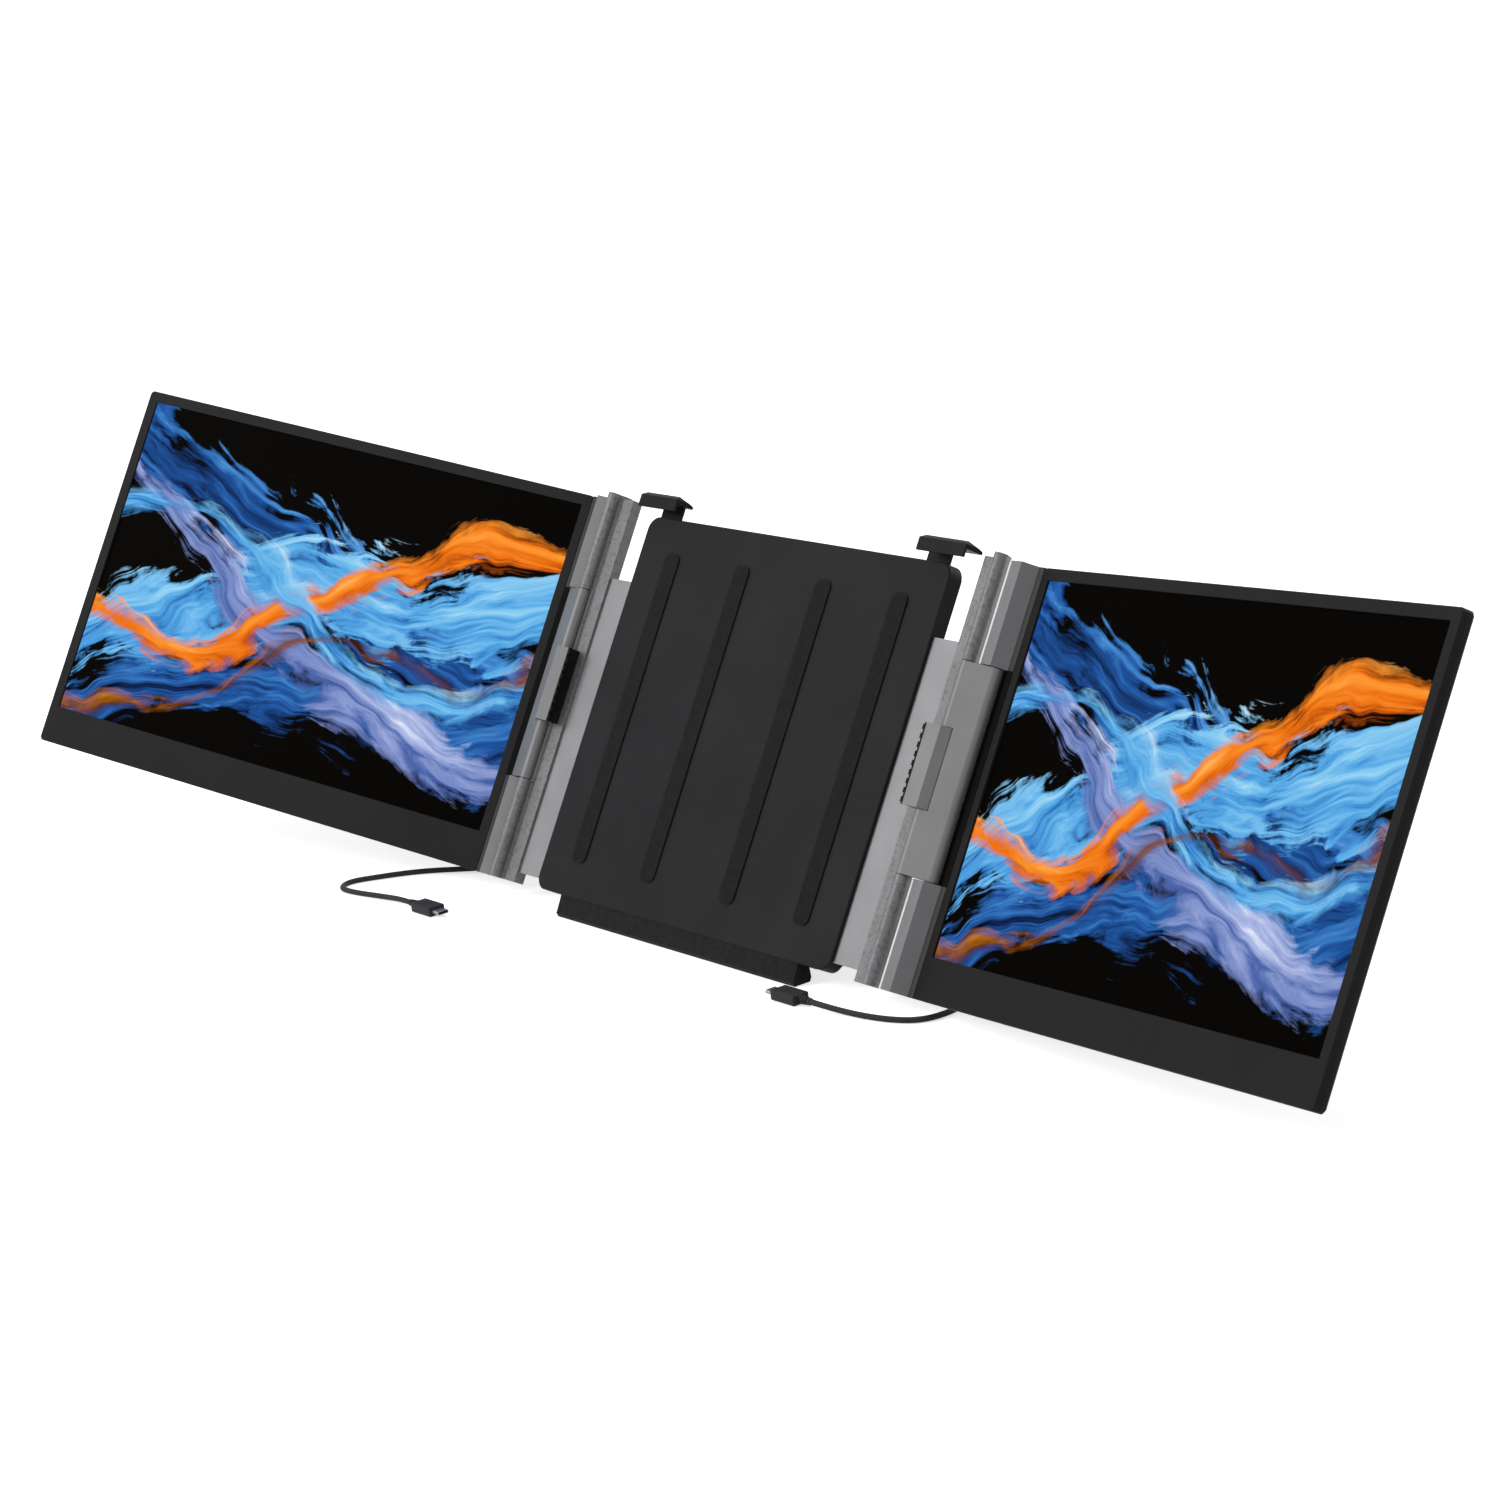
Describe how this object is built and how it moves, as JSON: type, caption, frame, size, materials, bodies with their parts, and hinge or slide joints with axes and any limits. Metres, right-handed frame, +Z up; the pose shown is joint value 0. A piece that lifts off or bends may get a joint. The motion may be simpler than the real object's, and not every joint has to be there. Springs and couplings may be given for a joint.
{
  "type": "laptop screen extender",
  "caption": "Frame that stands behind a laptop's open lid, with a display hinged on each side by a double-axis link hinge, sliding side jaws, top clips, a kickstand and cables.",
  "frame": {"origin": "middle of the rubber foot's sole, on the table", "axes": "+X to the right along the laptop's hinge line, +Y backward away from the user, +Z up; the lid's plane leans 29.9 degrees back"},
  "size_m": [1.1751, 0.2513, 0.2998],
  "materials": {
    "housing": "fine satin grain",
    "screen_housing": "fine satin grain",
    "bezel": "satin",
    "glass": "smooth, lit from behind",
    "light_guide": "sheet",
    "hinge_metal": "bead-blasted",
    "plate_metal": "milled",
    "steel": "zinc-plated",
    "washer": "smooth",
    "rubber": "matt",
    "laminate": "solder-masked",
    "clip": "satin",
    "button": "smooth",
    "cable_jacket": "satin",
    "plug_body": "satin"
  },
  "bodies": {
    "frame": {"frame_front_shell": "housing", "frame_back_shell": "housing", "chassis_plate": "steel", "slide_rails": "washer", "lid_pads": "rubber", "frame_screws": "steel", "driver_board": "laminate", "port_sockets": "steel", "kickstand_pins": "steel", "desk_foot": "rubber", "left_frame_plug": "plug_body", "left_coil": "cable_jacket", "left_laptop_plug": "plug_body", "left_cable": "cable_jacket", "right_frame_plug": "plug_body", "right_coil": "cable_jacket", "right_laptop_plug": "plug_body", "right_cable": "cable_jacket"},
    "kickstand": {"kickstand_plate": "plate_metal", "kickstand_foot": "rubber"},
    "left_side_bracket": {"left_bracket": "hinge_metal", "left_jaw": "hinge_metal", "left_jaw_pad": "rubber", "left_slide_plate": "plate_metal", "left_inner_pin": "steel"},
    "left_hinge_link": {"left_link": "hinge_metal", "left_outer_pin": "steel", "left_hinge_washers": "washer"},
    "left_screen": {"left_lower_arm": "hinge_metal", "left_upper_arm": "hinge_metal", "left_bezel": "bezel", "left_lcd_panel": "glass", "left_backlight": "light_guide", "left_back_cover": "screen_housing", "left_edge_trim": "screen_housing", "left_screen_board": "laminate", "left_screen_screws": "steel"},
    "left_power_key": {"left_power_button": "button"},
    "left_menu_key": {"left_menu_button": "button"},
    "left_top_clip": {"left_clip": "clip"},
    "right_side_bracket": {"right_bracket": "hinge_metal", "right_jaw": "hinge_metal", "right_jaw_pad": "rubber", "right_slide_plate": "plate_metal", "right_inner_pin": "steel"},
    "right_hinge_link": {"right_link": "hinge_metal", "right_outer_pin": "steel", "right_hinge_washers": "washer"},
    "right_screen": {"right_lower_arm": "hinge_metal", "right_upper_arm": "hinge_metal", "right_bezel": "bezel", "right_lcd_panel": "glass", "right_backlight": "light_guide", "right_back_cover": "screen_housing", "right_edge_trim": "screen_housing", "right_screen_board": "laminate", "right_screen_screws": "steel"},
    "right_power_key": {"right_power_button": "button"},
    "right_menu_key": {"right_menu_button": "button"},
    "right_top_clip": {"right_clip": "clip"}
  },
  "joints": [
    {"name": "left_slide", "type": "slide", "parent": "frame", "child": "left_side_bracket", "axis": [-1, 0, 0], "range_m": [-0.0185, 0.0215]},
    {"name": "left_link_hinge", "type": "hinge", "parent": "left_side_bracket", "child": "left_hinge_link", "pos_m": [-0.1892, 0.05983, 0.12684], "axis": [0, -0.4985, -0.8669], "range_deg": [-82.2, 0]},
    {"name": "left_screen_hinge", "type": "hinge", "parent": "left_hinge_link", "child": "left_screen", "pos_m": [-0.20694, 0.06549, 0.12358], "axis": [0, 0.4985, 0.8669], "range_deg": [-20.6, 119.2]},
    {"name": "left_power_press", "type": "slide", "parent": "left_screen", "child": "left_power_key", "axis": [0.3518, -0.8115, 0.4666], "range_m": [0, 0.0006], "stiffness_N_per_m": 1500, "springref_m": -0.0006},
    {"name": "left_menu_press", "type": "slide", "parent": "left_screen", "child": "left_menu_key", "axis": [0.3518, -0.8115, 0.4666], "range_m": [0, 0.0006], "stiffness_N_per_m": 1500, "springref_m": -0.0006},
    {"name": "left_clip_slide", "type": "slide", "parent": "frame", "child": "left_top_clip", "axis": [0, 0.4985, 0.8669], "range_m": [0, 0.022]},
    {"name": "right_slide", "type": "slide", "parent": "frame", "child": "right_side_bracket", "axis": [1, 0, 0], "range_m": [-0.0185, 0.0215]},
    {"name": "right_link_hinge", "type": "hinge", "parent": "right_side_bracket", "child": "right_hinge_link", "pos_m": [0.1892, 0.05983, 0.12684], "axis": [0, -0.4985, -0.8669], "range_deg": [0, 82.2]},
    {"name": "right_screen_hinge", "type": "hinge", "parent": "right_hinge_link", "child": "right_screen", "pos_m": [0.20694, 0.06549, 0.12358], "axis": [0, 0.4985, 0.8669], "range_deg": [-129.5, 10.3]},
    {"name": "right_power_press", "type": "slide", "parent": "right_screen", "child": "right_power_key", "axis": [-0.1788, -0.8529, 0.4905], "range_m": [0, 0.0006], "stiffness_N_per_m": 1500, "springref_m": -0.0006},
    {"name": "right_menu_press", "type": "slide", "parent": "right_screen", "child": "right_menu_key", "axis": [-0.1788, -0.8529, 0.4905], "range_m": [0, 0.0006], "stiffness_N_per_m": 1500, "springref_m": -0.0006},
    {"name": "right_clip_slide", "type": "slide", "parent": "frame", "child": "right_top_clip", "axis": [0, 0.4985, 0.8669], "range_m": [0, 0.022]},
    {"name": "kickstand_hinge", "type": "hinge", "parent": "frame", "child": "kickstand", "pos_m": [0, 0.07535, 0.12714], "axis": [1, 0, 0], "range_deg": [-46.6, 25]}
  ]
}
